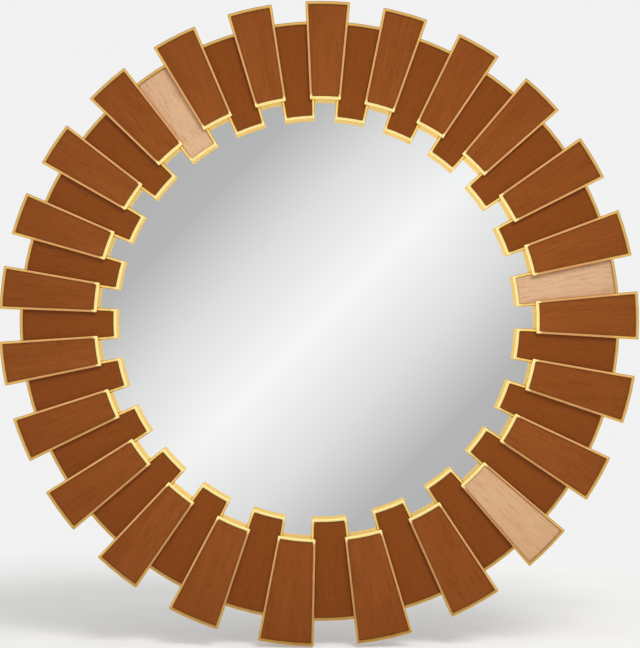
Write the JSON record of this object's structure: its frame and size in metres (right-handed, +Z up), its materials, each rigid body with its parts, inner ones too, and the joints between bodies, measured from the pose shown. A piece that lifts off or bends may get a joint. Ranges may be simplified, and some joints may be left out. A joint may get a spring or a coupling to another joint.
{
  "type": "sunburst mirror",
  "caption": "Round wall mirror ringed by overlapping long and short wooden rays in polished metal frames, on a round backing board with ring hangers.",
  "frame": {"origin": "centre of the outline of the long rays, on the wall plane that the rubber bumpers touch", "axes": "+Z up, -Y out of the wall towards the viewer, +X to the viewer's right"},
  "size_m": [0.9054, 0.047, 0.9139],
  "materials": {
    "polished_brass": "polished, bright gold tone",
    "dark_veneer": "reddish brown stained veneer, satin",
    "pale_veneer": "natural pale veneer, satin",
    "black_stained_wood": "black stain, matt",
    "painted_fibreboard": "black painted fibreboard, matt",
    "silvered_glass": "mirror polished",
    "zinc_plated_screw": "bright zinc plating",
    "nickel_plated_steel": "nickel plating",
    "bumper_rubber": "matt black"
  },
  "bodies": {
    "root": {"front_frame_01": "polished_brass", "back_frame_01": "polished_brass", "front_frame_02": "polished_brass", "back_frame_02": "polished_brass", "front_frame_03": "polished_brass", "back_frame_03": "polished_brass", "front_frame_04": "polished_brass", "back_frame_04": "polished_brass", "front_frame_05": "polished_brass", "back_frame_05": "polished_brass", "front_frame_06": "polished_brass", "back_frame_06": "polished_brass", "front_frame_07": "polished_brass", "back_frame_07": "polished_brass", "front_frame_08": "polished_brass", "back_frame_08": "polished_brass", "front_frame_09": "polished_brass", "back_frame_09": "polished_brass", "front_frame_10": "polished_brass", "back_frame_10": "polished_brass", "front_frame_11": "polished_brass", "back_frame_11": "polished_brass", "front_frame_12": "polished_brass", "back_frame_12": "polished_brass", "front_frame_13": "polished_brass", "back_frame_13": "polished_brass", "front_frame_14": "polished_brass", "back_frame_14": "polished_brass", "front_frame_15": "polished_brass", "back_frame_15": "polished_brass", "front_frame_16": "polished_brass", "back_frame_16": "polished_brass", "front_frame_17": "polished_brass", "back_frame_17": "polished_brass", "front_frame_18": "polished_brass", "back_frame_18": "polished_brass", "front_frame_19": "polished_brass", "back_frame_19": "polished_brass", "front_frame_20": "polished_brass", "back_frame_20": "polished_brass", "front_frame_21": "polished_brass", "back_frame_21": "polished_brass", "front_frame_22": "polished_brass", "back_frame_22": "polished_brass", "front_frame_23": "polished_brass", "back_frame_23": "polished_brass", "front_frame_24": "polished_brass", "back_frame_24": "polished_brass", "front_panels": "dark_veneer", "back_panels": "dark_veneer", "pale_panels": "pale_veneer", "ray_blocks": "black_stained_wood", "backing_board": "painted_fibreboard", "mirror_glass": "silvered_glass", "ray_screws": "zinc_plated_screw", "hanger_straps": "nickel_plated_steel", "hanger_screws": "nickel_plated_steel", "wall_bumpers": "bumper_rubber"},
    "ring_left": {"hanger_ring_left": "nickel_plated_steel"},
    "ring_right": {"hanger_ring_right": "nickel_plated_steel"}
  },
  "joints": [
    {"name": "ring_left_swing", "type": "hinge", "parent": "root", "child": "ring_left", "pos_m": [-0.2032, -0.005, 0.26508], "axis": [1, 0, 0], "range_deg": [0, 180]},
    {"name": "ring_right_swing", "type": "hinge", "parent": "root", "child": "ring_right", "pos_m": [0.2032, -0.005, 0.26508], "axis": [1, 0, 0], "range_deg": [0, 180]}
  ]
}
